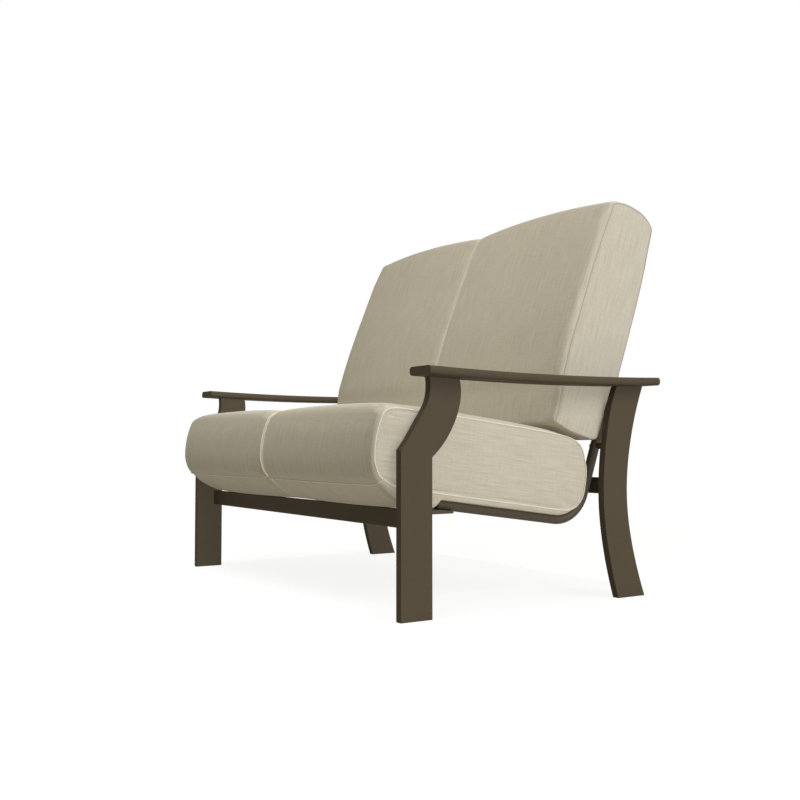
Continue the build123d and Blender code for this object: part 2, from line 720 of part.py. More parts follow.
def assembly():
    nodes = {}
    nodes.update(both_sides("leg_front", front_leg()))
    nodes.update(both_sides("leg_rear", rear_leg()))
    nodes.update(both_sides("arm", arm()))
    nodes["apron"] = apron()
    nodes["stretcher"] = stretcher()
    nodes.update(both_sides("side_rail", side_rail()))
    nodes["centre_rail"] = centre_rail()
    nodes["front_tube"] = front_tube()
    nodes.update(both_sides("rear_tube", rear_tube()))
    nodes.update(both_sides("lumbar_tube", lumbar_tube()))
    nodes.update(both_sides("back_post", back_post()))
    nodes["top_tube"] = top_tube()
    for index, depth in enumerate(spread(SEAT_SLAT_FIRST, SEAT_SLAT_LAST, SEAT_SLATS)):
        nodes["seat_slat_%d" % (index + 1)] = seat_slat(depth)
    for index, height in enumerate(spread(BACK_SLAT_FIRST, BACK_SLAT_LAST, BACK_SLATS)):
        nodes["back_slat_%d" % (index + 1)] = back_slat(height)
    nodes.update(both_sides("rail_shoe", shoe()))
    nodes.update(both_sides("stretcher_angle", angle()))
    nodes["spacers"] = group(spacers())
    nodes["rail_bolts"] = group(rail_bolts())
    nodes["shoe_screws"] = group(shoe_screws())
    nodes["angle_screws"] = group(angle_screws())
    nodes["dowels"] = group(arm_dowels() + apron_dowels())
    nodes["tube_plugs"] = group(side_plugs())
    nodes.update(both_sides("seat_cushion", lofted_cushion(seat_section)))
    nodes.update(both_sides("back_cushion", lofted_cushion(back_section)))
    return nodes


def box_middle_depth(nodes):
    """Middle of the whole box, so that the origin ends up under its centre."""
    boxes = [shape.bounding_box() for shape in nodes.values()]
    return (min(box.min.Y for box in boxes) + max(box.max.Y for box in boxes)) / 2


nodes = assembly()
middle_depth = box_middle_depth(nodes)
for name, shape in nodes.items():
    export_step(Pos(0, -middle_depth, 0) * shape, "parts/%s.step" % name)
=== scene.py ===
"""Looks of the patio loveseat: fabric cushions, board and tube finishes, light, floor and camera.

The scene is in metres, in the row's frame: +Z up, -Y the way a sitter faces, +X the sitter's left.
The cushions' outlines are in millimetres, as depth behind the front legs' front edge and height.
"""

import json
import logging
import math
from dataclasses import dataclass
from enum import Enum

import bmesh
import bpy
import numpy as np
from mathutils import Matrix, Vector


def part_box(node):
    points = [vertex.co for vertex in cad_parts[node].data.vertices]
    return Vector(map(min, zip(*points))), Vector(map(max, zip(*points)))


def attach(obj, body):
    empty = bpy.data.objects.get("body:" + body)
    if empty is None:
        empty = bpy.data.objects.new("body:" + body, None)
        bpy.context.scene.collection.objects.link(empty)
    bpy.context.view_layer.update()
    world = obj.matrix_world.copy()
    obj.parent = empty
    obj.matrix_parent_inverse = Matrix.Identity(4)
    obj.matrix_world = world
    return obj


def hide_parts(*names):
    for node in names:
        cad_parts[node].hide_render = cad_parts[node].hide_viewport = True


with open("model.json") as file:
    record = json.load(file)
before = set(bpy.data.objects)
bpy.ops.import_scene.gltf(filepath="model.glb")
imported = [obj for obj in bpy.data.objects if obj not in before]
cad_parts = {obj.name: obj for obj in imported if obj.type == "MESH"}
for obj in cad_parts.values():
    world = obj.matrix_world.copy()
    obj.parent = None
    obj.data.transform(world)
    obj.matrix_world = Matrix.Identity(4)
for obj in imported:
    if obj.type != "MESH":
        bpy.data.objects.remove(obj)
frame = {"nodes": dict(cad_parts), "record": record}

logging.basicConfig(level=logging.INFO, format="%(name)s: %(message)s")
log = logging.getLogger("loveseat")

MM = 0.001
CLOTH_MAP = "cloth"
Point = tuple[float, float]
Colour = tuple[float, float, float]
Socket = bpy.types.NodeSocket


class Side(Enum):
    """Which half of the object a piece belongs to; the value is the sign of its X."""

    LEFT = 1
    RIGHT = -1

    @property
    def word(self) -> str:
        """The side as it stands in the names of nodes, bodies and pieces.

        Returns:
            The word.
        """
        return self.name.lower()


def link_object(name: str, data: bpy.types.ID) -> bpy.types.Object:
    """Makes an object and puts it into the scene.

    Args:
        name: the object's name.
        data: its mesh, curve, light or camera.

    Returns:
        The object.
    """
    made = bpy.data.objects.new(name, data)
    bpy.context.collection.objects.link(made)
    return made


def shade_smooth(data: bpy.types.Mesh) -> None:
    """Shades all of a mesh's faces smooth.

    Args:
        data: the mesh.
    """
    for polygon in data.polygons:
        polygon.use_smooth = True


# Camera


@dataclass(frozen=True)
class Place:
    """Turns depths behind the front legs' front edge into places of the frame.

    Attributes:
        front_edge: Y of that edge.
    """

    front_edge: float

    @classmethod
    def from_frame(cls) -> "Place":
        """Reads the front legs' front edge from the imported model.

        Returns:
            The place whose depth 0 is that edge.
        """
        return cls(front_edge=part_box("leg_front_left")[0][1])

    def depth(self, millimetres: float) -> float:
        """Y of a depth.

        Args:
            millimetres: the depth.

        Returns:
            The place in metres.
        """
        return self.front_edge + millimetres * MM


@dataclass(frozen=True)
class ViewPoint:
    """The photograph's camera, solved from the legs, feet and arms.

    Attributes:
        across: X in millimetres.
        depth: place behind the front legs' front edge, in millimetres.
        height: Z in millimetres.
        turn: turn about Z, in degrees.
        tilt: upward tilt, in degrees.
        lens: focal length in millimetres.
        sensor: sensor width in millimetres.
        sight: the farthest distance it shows, in metres.
    """

    across: float = 2444.3
    depth: float = -1187.4
    height: float = 390.8
    turn: float = 57.10
    tilt: float = 2.609
    lens: float = 44.45
    sensor: float = 36.0
    sight: float = 60.0


def add_camera(place: Place, view: ViewPoint) -> None:
    """Creates the camera at the photograph's viewpoint.

    Args:
        place: turns depths into places of the frame.
        view: the solved viewpoint.
    """
    data = bpy.data.cameras.new("camera")
    data.lens = view.lens
    data.sensor_width = view.sensor
    data.clip_end = view.sight
    camera = link_object("camera", data)
    camera.location = (view.across * MM, place.depth(view.depth), view.height * MM)
    camera.rotation_euler = (math.radians(90 + view.tilt), 0, math.radians(view.turn))
    bpy.context.scene.camera = camera


# Light


@dataclass(frozen=True)
class FarLight:
    """A light so far away that it reaches every part of the object with the same strength.

    Attributes:
        name: the light's name.
        towards: the way from the object to the light.
        spread: its apparent size, in degrees.
        strength: its power over area.
        colour: its colour.
        shadow: whether it casts shadows.
    """

    name: str
    towards: tuple[float, float, float]
    spread: float
    strength: float
    colour: Colour
    shadow: bool = True

    def build(self) -> None:
        """Creates the light."""
        data = bpy.data.lights.new(self.name, "SUN")
        data.angle = math.radians(self.spread)
        data.energy = self.strength
        data.color = self.colour
        data.use_shadow = self.shadow
        light = link_object(self.name, data)
        light.rotation_euler = Vector(self.towards).to_track_quat("Z", "Y").to_euler()


@dataclass(frozen=True)
class SoftBox:
    """A rectangular lamp near the object.

    Attributes:
        name: the lamp's name.
        location: its middle.
        target: the point it faces.
        size: its sides in metres.
        power: its power in watts.
        colour: its colour.
    """

    name: str
    location: tuple[float, float, float]
    target: tuple[float, float, float]
    size: tuple[float, float]
    power: float
    colour: Colour

    def build(self) -> None:
        """Creates the lamp."""
        data = bpy.data.lights.new(self.name, "AREA")
        data.shape = "RECTANGLE"
        data.size, data.size_y = self.size
        data.energy = self.power
        data.color = self.colour
        lamp = link_object(self.name, data)
        lamp.location = self.location
        back = Vector(self.location) - Vector(self.target)
        lamp.rotation_euler = back.to_track_quat("Z", "Y").to_euler()


SIDE_WHITE: Colour = (1.0, 1.0, 1.015)
LIGHTS = [
    SoftBox("side", (3.2, 0.7, 2.0), (0.3, 0.3, 0.8), (2.2, 1.6), 34.0, SIDE_WHITE),
    FarLight("side_fill", (0.92, 0.40, 0.35), 12.0, 1.8, SIDE_WHITE, shadow=False),
    SoftBox("front_high", (0.2, -0.9, 1.9), (0.0, 0.2, 0.8), (1.8, 0.8), 15.0, (1.0, 0.98, 0.91)),
    FarLight("overhead", (0.0, 0.0, 1.0), 1.5, 0.40, (1.0, 0.975, 0.90)),
]
WORLD_COLOUR: Colour = (1.0, 0.955, 0.84)
WORLD_STRENGTH = 0.21


def shown_to_eye(nodes: bpy.types.Nodes, links: bpy.types.NodeLinks) -> Socket:
    """A value of 1 for rays that show the backdrop: the camera's, and those mirrored or passed on.

    Args:
        nodes: the tree's nodes.
        links: the tree's links.

    Returns:
        The value's socket.
    """
    path = nodes.new("ShaderNodeLightPath")
    shown = path.outputs["Is Camera Ray"]
    for ray in ("Is Glossy Ray", "Is Transmission Ray"):
        either = nodes.new("ShaderNodeMath")
        either.operation = "MAXIMUM"
        links.new(shown, either.inputs[0])
        links.new(path.outputs[ray], either.inputs[1])
        shown = either.outputs["Value"]
    return shown


def build_world() -> None:
    """Makes the white backdrop that the eye sees and the plain soft light that the object gets."""
    world = bpy.data.worlds.new("studio")
    bpy.context.scene.world = world
    world.use_nodes = True
    nodes, links = world.node_tree.nodes, world.node_tree.links
    nodes.clear()
    output = nodes.new("ShaderNodeOutputWorld")
    mix = nodes.new("ShaderNodeMixShader")
    seen, light = nodes.new("ShaderNodeBackground"), nodes.new("ShaderNodeBackground")
    seen.inputs["Color"].default_value = (1, 1, 1, 1)
    seen.inputs["Strength"].default_value = 1.0
    light.inputs["Color"].default_value = (*WORLD_COLOUR, 1)
    light.inputs["Strength"].default_value = WORLD_STRENGTH
    links.new(shown_to_eye(nodes, links), mix.inputs["Fac"])
    links.new(light.outputs["Background"], mix.inputs[1])
    links.new(seen.outputs["Background"], mix.inputs[2])
    links.new(mix.outputs["Shader"], output.inputs["Surface"])


# Materials


class Shader:
    """A node material under construction, with short helpers for its nodes."""

    def __init__(self, name: str) -> None:
        """Starts a material.

        Args:
            name: the material's name.
        """
        self.material = bpy.data.materials.new(name)
        self.material.use_nodes = True
        self.nodes = self.material.node_tree.nodes
        self.links = self.material.node_tree.links
        self.surface = self.nodes["Principled BSDF"]

    def node(self, kind: str, **settings: object) -> bpy.types.Node:
        """Adds a node.

        Args:
            kind: its type.
            settings: its properties.

        Returns:
            The node.
        """
        made = self.nodes.new(kind)
        for key, value in settings.items():
            setattr(made, key, value)
        return made

    def link(self, source: Socket, target: Socket) -> None:
        """Links two sockets.

        Args:
            source: the output.
            target: the input.
        """
        self.links.new(source, target)

    def set(self, **values: float | tuple[float, ...]) -> None:
        """Sets sockets of the principled shader by name, with spaces as underscores.

        Args:
            values: the values by name.
        """
        for key, value in values.items():
            self.surface.inputs[key.replace("_", " ")].default_value = value

    def scaled(self, source: Socket, scale: tuple[float, float, float]) -> Socket:
        """Stretches coordinates.

        Args:
            source: the coordinates.
            scale: the factor along each axis.

        Returns:
            The stretched coordinates.
        """
        mapping = self.node("ShaderNodeMapping")
        mapping.inputs["Scale"].default_value = scale
        self.link(source, mapping.inputs["Vector"])
        return mapping.outputs["Vector"]

    def noise(self, vector: Socket, scale: float, detail: float, roughness: float = 0.5) -> Socket:
        """Adds a noise texture.

        Args:
            vector: its coordinates.
            scale: waves to a unit of them.
            detail: how many finer layers it has.
            roughness: how strong those are.

        Returns:
            The noise, about 0 to 1.
        """
        texture = self.node("ShaderNodeTexNoise")
        texture.inputs["Scale"].default_value = scale
        texture.inputs["Detail"].default_value = detail
        texture.inputs["Roughness"].default_value = roughness
        self.link(vector, texture.inputs["Vector"])
        return texture.outputs["Fac"]

    def math(self, operation: str, a: Socket | float, b: Socket | float) -> Socket:
        """Works out a value from two others.

        Args:
            operation: what is done with them.
            a: the first value.
            b: the second value.

        Returns:
            The result.
        """
        made = self.node("ShaderNodeMath", operation=operation)
        for socket, value in zip(made.inputs, (a, b)):
            if isinstance(value, (int, float)):
                socket.default_value = value
            else:
                self.link(value, socket)
        return made.outputs["Value"]

    def blend(self, *parts: tuple[Socket, float]) -> Socket:
        """Adds values up by their weights.

        Args:
            parts: pairs of a value and its weight.

        Returns:
            The sum.
        """
        weighed = [self.math("MULTIPLY", value, weight) for value, weight in parts]
        total = weighed[0]
        for value in weighed[1:]:
            total = self.math("ADD", total, value)
        return total

    def span(self, value: Socket, source: Point, target: Point) -> Socket:
        """Carries a value from one span over to another.

        Args:
            value: the value.
            source: the span it comes from.
            target: the span it goes to.

        Returns:
            The new value.
        """
        made = self.node("ShaderNodeMapRange")
        for name, number in zip(("From Min", "From Max", "To Min", "To Max"), (*source, *target)):
            made.inputs[name].default_value = number
        self.link(value, made.inputs["Value"])
        return made.outputs["Result"]

    def mix(self, factor: Socket, a: Colour, b: Colour | Socket) -> Socket:
        """Mixes two colours.

        Args:
            factor: the second colour's share.
            a: the first colour.
            b: the second colour.

        Returns:
            The mixed colour.
        """
        made = self.node("ShaderNodeMix", data_type="RGBA")
        for name, value in (("A", a), ("B", b)):
            socket = [s for s in made.inputs if s.name == name and s.type == "RGBA"][0]
            if isinstance(value, tuple):
                socket.default_value = (*value, 1)
            else:
                self.link(value, socket)
        self.link(factor, made.inputs["Factor"])
        return [s for s in made.outputs if s.type == "RGBA"][0]

    def bump(self, height: Socket, strength: float, distance: float,
             normal: Socket | None = None) -> None:
        """Gives the surface a fine relief.

        Args:
            height: the relief.
            strength: its share.
            distance: its depth in metres.
            normal: the normal it starts from.
        """
        made = self.node("ShaderNodeBump")
        made.inputs["Strength"].default_value = strength
        made.inputs["Distance"].default_value = distance
        self.link(height, made.inputs["Height"])
        if normal is not None:
            self.link(normal, made.inputs["Normal"])
        self.link(made.outputs["Normal"], self.surface.inputs["Normal"])

    def eased(self, radius: float) -> Socket:
        """A normal that rounds the CAD's sharp edges.

        Args:
            radius: the rounding in metres.

        Returns:
            The normal.
        """
        made = self.node("ShaderNodeBevel", samples=6)
        made.inputs["Radius"].default_value = radius
        return made.outputs["Normal"]


@dataclass(frozen=True)
class Weave:
    """Slubbed cloth; its lengths are in metres.

    Attributes:
        name: the material's name.
        light: colour of the lighter yarns.
        dark: colour of the darker yarns.
        slub_width: width of a slub.
        slub_length: length of a slub.
        cross_share: length of a slub across, as a share of slub_length.
        yarn: width of a yarn.
        bands: bands of the wave texture to a yarn.
        cloud: clouds to a metre.
        weights: weights of slubs, cross slubs, clouds and weave in the tone.
        tone: the span of the tone that goes from dark to light.
        relief: the bump's strength.
        relief_depth: the bump's depth.
    """

    name: str
    light: Colour
    dark: Colour
    slub_width: float = 0.0030
    slub_length: float = 0.09
    cross_share: float = 0.4
    yarn: float = 0.0011
    bands: float = 0.31
    cloud: float = 7.0
    weights: tuple[float, float, float, float] = (0.66, 0.26, 0.08, 0.14)
    tone: Point = (0.38, 0.70)
    relief: float = 0.35
    relief_depth: float = 0.0006

    def yarns(self, shader: Shader, metres: Socket, direction: str) -> Socket:
        """Waves that stand for the yarns of one direction.

        Args:
            shader: the material being built.
            metres: the cloth's coordinates.
            direction: the axis across them.

        Returns:
            The waves.
        """
        wave = shader.node("ShaderNodeTexWave", wave_type="BANDS", bands_direction=direction)
        wave.inputs["Scale"].default_value = self.bands / self.yarn
        wave.inputs["Distortion"].default_value = 0.6
        wave.inputs["Detail"].default_value = 1.0
        shader.link(metres, wave.inputs["Vector"])
        return wave.outputs["Fac"]

    def build(self) -> bpy.types.Material:
        """Builds cloth whose slubs run along V of the piece's UV map, which is in metres.

        Returns:
            The material.
        """
        shader = Shader(self.name)
        metres = shader.node("ShaderNodeUVMap", uv_map=CLOTH_MAP).outputs["UV"]
        along = (1 / self.slub_width, 1 / self.slub_length, 1)
        across = (1 / (self.slub_length * self.cross_share), 1 / self.slub_width, 1)
        slub = shader.noise(shader.scaled(metres, along), 1.0, 4.0, 0.62)
        cross = shader.noise(shader.scaled(metres, across), 1.0, 2.0)
        cloud = shader.noise(metres, self.cloud, 2.0)
        warp, weft = (self.yarns(shader, metres, direction) for direction in "XY")
        weave = shader.math("MULTIPLY", warp, weft)
        tone = shader.blend(*zip((slub, cross, cloud, weave), self.weights))
        colour = shader.mix(shader.span(tone, self.tone, (0.0, 1.0)), self.dark, self.light)
        shader.link(colour, shader.surface.inputs["Base Color"])
        height = shader.blend((weave, 0.5), (slub, 0.5))
        shader.bump(height, self.relief, self.relief_depth)
        shader.set(Roughness=0.95, Sheen_Weight=0.18, Sheen_Roughness=0.55, Specular_IOR_Level=0.12)
        return shader.material


@dataclass(frozen=True)
class Finish:
    """A plain coloured finish with mottling, fine texture and eased edges.

    Attributes:
        name: the material's name.
        dark: its darker colour.
        light: its lighter colour.
        grain: waves of the grain to a metre, along each axis.
        roughness: its roughness.
        relief: strength of the grain's bump.
        ease: rounding of the edges, in metres.
        metallic: 1 for bare metal.
        specular: strength of its gloss.
        cloud: clouds to a metre.
        relief_depth: depth of the grain's bump, in metres.
    """

    name: str
    dark: Colour
    light: Colour
    grain: tuple[float, float, float]
    roughness: float
    relief: float
    ease: float
    metallic: float = 0.0
    specular: float = 0.3
    cloud: float = 9.0
    relief_depth: float = 0.0004

    def build(self) -> bpy.types.Material:
        """Builds the finish on object coordinates, with its grain stretched along each axis.

        Returns:
            The material.
        """
        shader = Shader(self.name)
        place = shader.node("ShaderNodeTexCoord").outputs["Object"]
        grain = shader.noise(shader.scaled(place, self.grain), 1.0, 5.0, 0.6)
        cloud = shader.noise(place, self.cloud, 2.0)
        tone = shader.span(shader.blend((grain, 0.6), (cloud, 0.4)), (0.3, 0.7), (0.0, 1.0))
        shader.link(shader.mix(tone, self.dark, self.light), shader.surface.inputs["Base Color"])
        rough_span = (self.roughness - 0.05, self.roughness + 0.06)
        rough = shader.span(grain, (0.3, 0.7), rough_span)
        shader.link(rough, shader.surface.inputs["Roughness"])
        shader.bump(grain, self.relief, self.relief_depth, shader.eased(self.ease))
        shader.set(Metallic=self.metallic, Specular_IOR_Level=self.specular)
        return shader.material


BRONZE_DARK: Colour = (0.080, 0.064, 0.044)
BRONZE_LIGHT: Colour = (0.088, 0.070, 0.048)
FINISHES = {
    "board": Finish("bronze_board", BRONZE_DARK, BRONZE_LIGHT, grain=(60, 60, 240),
                    roughness=0.55, relief=0.12, ease=0.0016, specular=0.02),
    "frame_metal": Finish("bronze_powder_coat", BRONZE_DARK, BRONZE_LIGHT, grain=(900, 900, 900),
                          roughness=0.42, relief=0.25, ease=0.0008, specular=0.10),
    "steel": Finish("stainless", (0.42, 0.41, 0.40), (0.55, 0.54, 0.53), grain=(40, 900, 900),
                    roughness=0.32, relief=0.1, ease=0.0004, metallic=1.0),
    "plug": Finish("black_plug", (0.020, 0.018, 0.016), (0.028, 0.025, 0.022),
                   grain=(700, 700, 700), roughness=0.5, relief=0.15, ease=0.0006),
}
CANVAS = Weave("slubbed_canvas", light=(0.600, 0.558, 0.462), dark=(0.455, 0.415, 0.330))
PIPING = Weave("piping_canvas", light=(0.77, 0.72, 0.61), dark=(0.66, 0.61, 0.50))
# Painted shade: a darker cloth for the thin cords in the back cushions' seams, standing in for the
# shade in the seam creases.
SEAM_SHADE = Weave("painted_seam_shade", light=(0.41, 0.38, 0.31), dark=(0.35, 0.32, 0.26))

FLOOR_SIZE = 40.0
FLOOR_GLOW = 0.82
FLOOR_SEEN: tuple[Colour, Colour] = ((0.30, 0.30, 0.30), (0.31, 0.31, 0.31))
FLOOR_BOUNCE: Colour = (0.68, 0.655, 0.58)
FLOOR_MOTTLES = 3.0
FLOOR_FADE: Point = (1.2, 2.6)


def floor_material() -> bpy.types.Material:
    """Pale floor that shows white to the eye but for a soft shadow, and fades out with distance.

    Returns:
        The material.
    """
    shader = Shader("pale_floor")
    place = shader.node("ShaderNodeTexCoord").outputs["Object"]
    tone = shader.span(shader.noise(place, FLOOR_MOTTLES, 2.0), (0.3, 0.7), (0.0, 1.0))
    shown = shown_to_eye(shader.nodes, shader.links)
    seen = shader.mix(tone, *FLOOR_SEEN)
    shader.link(shader.mix(shown, FLOOR_BOUNCE, seen), shader.surface.inputs["Base Color"])
    shader.set(Roughness=0.9, Specular_IOR_Level=0.0)
    shader.set(Emission_Color=(1.0, 1.0, 1.0, 1.0))
    glow = shader.math("MULTIPLY", shown, FLOOR_GLOW)
    shader.link(glow, shader.surface.inputs["Emission Strength"])
    distance = shader.node("ShaderNodeVectorMath", operation="LENGTH")
    shader.link(place, distance.inputs[0])
    fade = shader.span(distance.outputs["Value"], FLOOR_FADE, (1.0, 0.0))
    shader.link(fade, shader.surface.inputs["Alpha"])
    return shader.material


# Outlines of the cushions


def smooth_loop(points: list[Point], steps: int) -> np.ndarray:
    """Samples a closed, smooth curve through points.

    Args:
        points: the control points in order.
        steps: samples from each control point to the next.

    Returns:
        An array of points, with each control point at every steps-th place.
    """
    control = np.array(points, float)
    count = len(control)
    share = (np.arange(steps) / steps)[:, None]
    runs = []
    for i in range(count):
        p0, p1, p2, p3 = (control[(i + k) % count] for k in (-1, 0, 1, 2))
        length = np.linalg.norm(p2 - p1)
        before, after = np.linalg.norm(p1 - p0), np.linalg.norm(p3 - p2)
        m1 = (p2 - p0) / (length + before) * length
        m2 = (p3 - p1) / (length + after) * length
        s2, s3 = share**2, share**3
        runs.append((2 * s3 - 3 * s2 + 1) * p1 + (s3 - 2 * s2 + share) * m1
                    + (-2 * s3 + 3 * s2) * p2 + (s3 - s2) * m2)
    return np.concatenate(runs)


def outward(loop: np.ndarray) -> np.ndarray:
    """Unit normals of a closed loop, away from its inside.

    Args:
        loop: the loop's points.

    Returns:
        A normal for each point.
    """
    along = np.roll(loop, -1, axis=0) - np.roll(loop, 1, axis=0)
    normal = np.stack([along[:, 1], -along[:, 0]], axis=1)
    normal /= np.linalg.norm(normal, axis=1)[:, None]
    following = np.roll(loop, -1, axis=0)
    area = 0.5 * np.sum(loop[:, 0] * following[:, 1] - following[:, 0] * loop[:, 1])
    return normal if area > 0 else -normal


def smoothstep(low: float, high: float, value: float) -> float:
    """A share that rises smoothly from 0 at low to 1 at high.

    Args:
        low: where the rise begins.
        high: where it ends.
        value: the place asked for.

    Returns:
        The share.
    """
    share = min(1.0, max(0.0, (value - low) / (high - low)))
    return share * share * (3 - 2 * share)


def eased_shares(count: int, evenness: float = 0.35) -> np.ndarray:
    """Shares from 0 to 1 that crowd at both ends.

    Args:
        count: how many gaps there are between them.
        evenness: 1 for even gaps, 0 for the most crowded ones.

    Returns:
        The shares.
    """
    even = np.linspace(0, 1, count + 1)
    crowded = 0.5 - 0.5 * np.cos(np.pi * even)
    return evenness * even + (1 - evenness) * crowded


# Cushions

CUSHION_GAP = 0.6
HELD_AT_MIDDLE = 6.0
RIM_REACH = 2.2
SWELL_POWER = 2.5
GROOVE_WIDTH = 4.0
FRONT_CORD_SHARE = 1.1
FRONT_CORD_LIFT = 0.3
OVERHANG = 24.0
OVERHANG_STARTS = 5.0
OVERHANG_ENDS = 9.0
RAIL_TOP: Point = (300.0, 241.2)
RAIL_SLOPE = -0.137


@dataclass(frozen=True)
class Cushion:
    """A boxed cushion: a wrap panel round its outline and a flat panel at each end.

    Outlines go round from the same point. The other lengths are in millimetres too.

    Attributes:
        name: the piece's name.
        node: the CAD node it stands for.
        body: the body it rides on.
        seam: the outline at the ends.
        full: the outline where it is fullest.
        roll: each point's share of the fullness that the edge's roll gives.
        reach: the roll's width at each point.
        corners: the points where the end panels turn a corner.
        rests: the first and last point of the stretch that rests on slats.
        side_slubs_along: the way the slubs run on the end panels.
        rim: how far the wrap panel rises at once beside the seam.
        side_swell: how far the outer end panel stands proud.
        groove: depth of the end panels' groove beside the seam.
        softness: 0 for a round roll, 1 for a soft one.
        sag: how far points hang down past the rail.
        cross_seam: the point where a seam crosses the wrap panel.
        cord_rise: the cords' height over the end panels' edge.
        cord_inset: the cords' distance from the inner and the outer end.
        cord_radius: the cords' radius.
        fill: the filling's share of the cover's volume; not used.
        steps: samples between the outlines' points.
        across: sections from end to end.
        swell_reach: the swell's distance from the seam to its full height.
    """

    name: str
    node: str
    body: str
    seam: list[Point]
    full: list[Point]
    roll: list[float]
    reach: list[float]
    corners: tuple[int, int, int, int]
    rests: tuple[int, int]
    side_slubs_along: Point
    rim: float
    side_swell: float
    groove: float
    softness: float
    sag: dict[int, float]
    cross_seam: float | None
    cord_rise: float
    cord_inset: tuple[float, float]
    cord_radius: float
    fill: float = 0.85
    steps: int = 6
    across: int = 60
    swell_reach: float = 95.0


class CushionBuilder:
    """Builds one cushion's mesh from its outlines."""

    def __init__(self, cushion: Cushion, place: Place, inner: float, outer: float) -> None:
        """Samples the outlines.

        Args:
            cushion: what to build.
            place: turns depths into places of the frame.
            inner: X of the end at the object's middle.
            outer: X of the end beside the arm.
        """
        self.cushion = cushion
        self.place = place
        self.inner, self.outer = inner, outer
        self.width = abs(outer - inner)
        self.seam = smooth_loop(cushion.seam, cushion.steps)
        self.full = smooth_loop(cushion.full, cushion.steps)
        self.edge = self.seam - outward(self.seam) * cushion.rim
        self.roll = self.sampled(cushion.roll)
        self.reach = self.sampled(cushion.reach)
        self.sag = self.sampled([cushion.sag.get(i, 0.0) for i in range(len(cushion.seam))])
        self.cross: list[int] = []

    def sampled(self, values: list[float]) -> np.ndarray:
        """Carries a value of each control point over to the samples between them.

        Args:
            values: the values in order.

        Returns:
            A value for each sample.
        """
        count = len(values)
        stations = np.arange(count * self.cushion.steps) / self.cushion.steps
        return np.interp(stations, range(count + 1), values + values[:1])

    def section(self, from_end: float, outer: bool) -> np.ndarray:
        """The outline at a distance from the nearer end.

        Args:
            from_end: the distance.
            outer: whether the nearer end is the one beside the arm, where the underside hangs
                past the rail.

        Returns:
            The outline's points.
        """
        near = np.clip(1 - from_end / self.reach, 0, 1)
        soft = self.cushion.softness
        edge_roll = (1 - soft) * np.sqrt(1 - near**2) + soft * np.cos(near * np.pi / 2)
        dome = 1 - (1 - from_end / (self.width / MM / 2)) ** 2
        fullness = (self.roll * edge_roll + (1 - self.roll) * dome)[:, None]
        rim_near = max(0.0, 1 - from_end / (RIM_REACH * self.cushion.rim))
        rim = math.sqrt(1 - rim_near**2)
        base = self.edge + (self.seam - self.edge) * rim
        outline = base + (self.full - self.seam) * fullness
        if outer:
            outline[:, 1] = self.hung(outline, from_end)
        return outline

    def hung(self, outline: np.ndarray, from_end: float) -> np.ndarray:
        """Lets the underside hang down past the outer side of the rail.

        Args:
            outline: the outline's points.
            from_end: their distance from the end beside the arm.

        Returns:
            Their new heights.
        """
        hang = smoothstep(0.0, OVERHANG_STARTS, from_end)
        hang *= 1 - smoothstep(OVERHANG - OVERHANG_ENDS, OVERHANG, from_end)
        heights = outline[:, 1]
        rest = RAIL_TOP[1] + RAIL_SLOPE * (outline[:, 0] - RAIL_TOP[0])
        return np.maximum(heights - self.sag * hang, np.minimum(rest, heights))

    def build(self) -> tuple[bpy.types.Object, list[int]]:
        """Makes the cushion's mesh.

        Returns:
            The object, and the vertices that the stuffing doesn't move.
        """
        cushion = self.cushion
        shares = eased_shares(cushion.across)
        mesh = bmesh.new()
        cloth = mesh.loops.layers.uv.new(CLOTH_MAP)
        rows = []
        for share in shares:
            outline = self.section(min(share, 1 - share) * self.width / MM, outer=share > 0.5)
            x = self.inner + (self.outer - self.inner) * share
            rows.append([mesh.verts.new((x, self.place.depth(y), z * MM)) for y, z in outline])
        self.wrap(mesh, cloth, rows, shares * self.width)
        facing = 1 if self.outer > self.inner else -1
        self.close_end(mesh, cloth, rows[0], self.inner, -facing, swell=0.0)
        self.close_end(mesh, cloth, rows[-1], self.outer, facing, swell=cushion.side_swell)
        bmesh.ops.recalc_face_normals(mesh, faces=mesh.faces)
        data = bpy.data.meshes.new(cushion.name)
        mesh.to_mesh(data)
        mesh.verts.index_update()
        held = self.held(mesh, rows)
        if cushion.cross_seam is not None:
            column = round(cushion.cross_seam * cushion.steps)
            self.cross = [row[column].index for row in rows]
        mesh.free()
        shade_smooth(data)
        return link_object(cushion.name, data), held

    def wrap(self, mesh: bmesh.types.BMesh, cloth: bmesh.types.BMLayerItem, rows: list[list],
             stations: np.ndarray) -> None:
        """Spans the wrap panel from section to section.

        Args:
            mesh: the mesh being built.
            cloth: its UV layer.
            rows: the sections' vertices.
            stations: the sections' distances from the inner end, in metres.
        """
        closed = np.vstack([self.full, self.full[:1]])
        girth = np.cumsum(np.linalg.norm(np.diff(closed, axis=0), axis=1))
        girth = np.concatenate([[0], girth]) * MM
        count = len(self.full)
        for j in range(len(rows) - 1):
            for i in range(count):
                k = (i + 1) % count
                corners = (rows[j][i], rows[j][k], rows[j + 1][k], rows[j + 1][i])
                spots = ((j, i), (j, i + 1), (j + 1, i + 1), (j + 1, i))
                for loop, (row, step) in zip(mesh.faces.new(corners).loops, spots):
                    loop[cloth].uv = (stations[row], girth[step])

    def held(self, mesh: bmesh.types.BMesh, rows: list[list]) -> list[int]:
        """The vertices that the stuffing doesn't move.

        Args:
            mesh: the cushion's mesh.
            rows: the sections' vertices.

        Returns:
            Indices of the seams, the end at the object's middle, and the part that rests on slats.
        """
        first, last = (index * self.cushion.steps for index in self.cushion.rests)
        middle = abs(self.inner) + HELD_AT_MIDDLE * MM
        kept = {vertex.index for row in (rows[0], rows[-1]) for vertex in row}
        kept |= {vertex.index for row in rows for vertex in row[first:last + 1]}
        kept |= {vertex.index for vertex in mesh.verts if abs(vertex.co.x) < middle}
        return sorted(kept)

